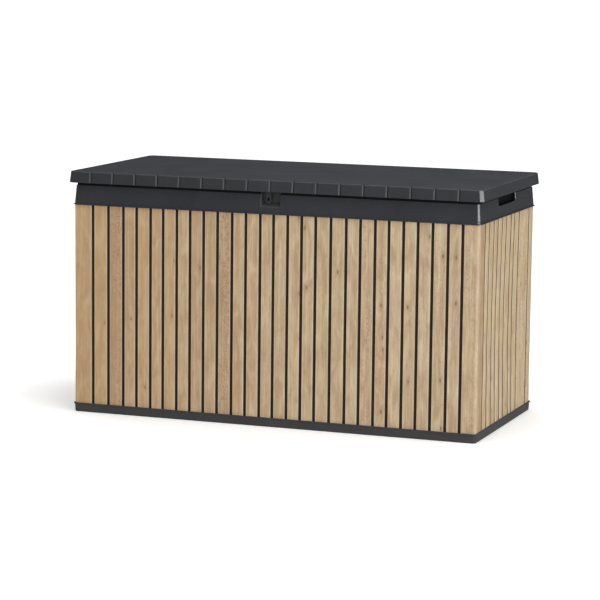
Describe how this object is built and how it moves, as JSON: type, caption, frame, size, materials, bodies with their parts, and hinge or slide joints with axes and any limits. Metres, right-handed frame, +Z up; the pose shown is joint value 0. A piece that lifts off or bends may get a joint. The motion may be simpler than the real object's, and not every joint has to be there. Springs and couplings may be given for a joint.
{
  "type": "deck storage box",
  "caption": "Outdoor storage box with vertical slatted walls, a base plinth, a moulded collar with hand grips and lock recess, and a hinged lid lifted by gas struts.",
  "frame": {"origin": "middle of the footprint on the ground, under the centre of the bounding box", "axes": "+X along the length to the right seen from the front, +Y to the back where the hinges are, +Z up"},
  "size_m": [1.432, 0.675, 0.81],
  "materials": {
    "resin": "anthracite moulded resin, fine satin grain",
    "lid_resin": "anthracite moulded resin, slightly lighter, satin",
    "slat_wood": "natural oak-look slats with vertical grain, matt",
    "zinc_steel": "zinc plated",
    "black_steel": "black, semi-gloss"
  },
  "bodies": {
    "box": {"base_tray": "resin", "front_panel": "slat_wood", "back_panel": "slat_wood", "left_panel": "slat_wood", "right_panel": "slat_wood", "corner_post_front_left": "resin", "corner_post_front_right": "resin", "corner_post_back_left": "resin", "corner_post_back_right": "resin", "top_frame": "resin", "lock_staple": "resin", "hinge_left_fixed_leaf": "zinc_steel", "hinge_left_fixed_leaf_screw_a": "zinc_steel", "hinge_left_fixed_leaf_screw_b": "zinc_steel", "hinge_left_pin": "zinc_steel", "hinge_middle_fixed_leaf": "zinc_steel", "hinge_middle_fixed_leaf_screw_a": "zinc_steel", "hinge_middle_fixed_leaf_screw_b": "zinc_steel", "hinge_middle_pin": "zinc_steel", "hinge_right_fixed_leaf": "zinc_steel", "hinge_right_fixed_leaf_screw_a": "zinc_steel", "hinge_right_fixed_leaf_screw_b": "zinc_steel", "hinge_right_pin": "zinc_steel", "left_strut_foot_bracket": "zinc_steel", "left_strut_foot_screw_low": "zinc_steel", "left_strut_foot_screw_high": "zinc_steel", "right_strut_foot_bracket": "zinc_steel", "right_strut_foot_screw_low": "zinc_steel", "right_strut_foot_screw_high": "zinc_steel"},
    "lid": {"lid_shell": "lid_resin", "lid_liner": "resin", "lid_tube_front": "black_steel", "lid_tube_rear": "black_steel", "lock_tongue": "resin", "hinge_left_moving_leaf": "zinc_steel", "hinge_left_moving_leaf_screw_a": "zinc_steel", "hinge_left_moving_leaf_screw_b": "zinc_steel", "hinge_middle_moving_leaf": "zinc_steel", "hinge_middle_moving_leaf_screw_a": "zinc_steel", "hinge_middle_moving_leaf_screw_b": "zinc_steel", "hinge_right_moving_leaf": "zinc_steel", "hinge_right_moving_leaf_screw_a": "zinc_steel", "hinge_right_moving_leaf_screw_b": "zinc_steel", "left_strut_head_bracket": "zinc_steel", "left_strut_head_screw_front": "zinc_steel", "left_strut_head_screw_rear": "zinc_steel", "right_strut_head_bracket": "zinc_steel", "right_strut_head_screw_front": "zinc_steel", "right_strut_head_screw_rear": "zinc_steel"},
    "left_strut_cylinder_body": {"left_strut_cylinder_end": "resin", "left_strut_cylinder": "black_steel"},
    "left_strut_rod_body": {"left_strut_rod": "zinc_steel", "left_strut_rod_end": "resin"},
    "right_strut_cylinder_body": {"right_strut_cylinder_end": "resin", "right_strut_cylinder": "black_steel"},
    "right_strut_rod_body": {"right_strut_rod": "zinc_steel", "right_strut_rod_end": "resin"}
  },
  "joints": [
    {"name": "lid_hinge", "type": "hinge", "parent": "box", "child": "lid", "pos_m": [0, 0.3295, 0.7805], "axis": [-1, 0, 0], "range_deg": [0, 75]},
    {"name": "left_strut_swing", "type": "hinge", "parent": "box", "child": "left_strut_cylinder_body", "pos_m": [-0.655, 0.24, 0.508], "axis": [-1, 0, 0], "range_deg": [0, 9.1]},
    {"name": "left_strut_slide", "type": "slide", "parent": "left_strut_cylinder_body", "child": "left_strut_rod_body", "axis": [0, 0.0187, 0.9998], "range_m": [0, 0.0915]},
    {"name": "right_strut_swing", "type": "hinge", "parent": "box", "child": "right_strut_cylinder_body", "pos_m": [0.655, 0.24, 0.508], "axis": [-1, 0, 0], "range_deg": [0, 9.1]},
    {"name": "right_strut_slide", "type": "slide", "parent": "right_strut_cylinder_body", "child": "right_strut_rod_body", "axis": [0, 0.0187, 0.9998], "range_m": [0, 0.0915]}
  ],
  "couplings": [
    {"joint": "left_strut_swing", "follows": "lid_hinge", "ratio": 0.1193},
    {"joint": "left_strut_slide", "follows": "lid_hinge", "m_per_rad": 0.06961},
    {"joint": "right_strut_swing", "follows": "lid_hinge", "ratio": 0.1193},
    {"joint": "right_strut_slide", "follows": "lid_hinge", "m_per_rad": 0.06961}
  ]
}
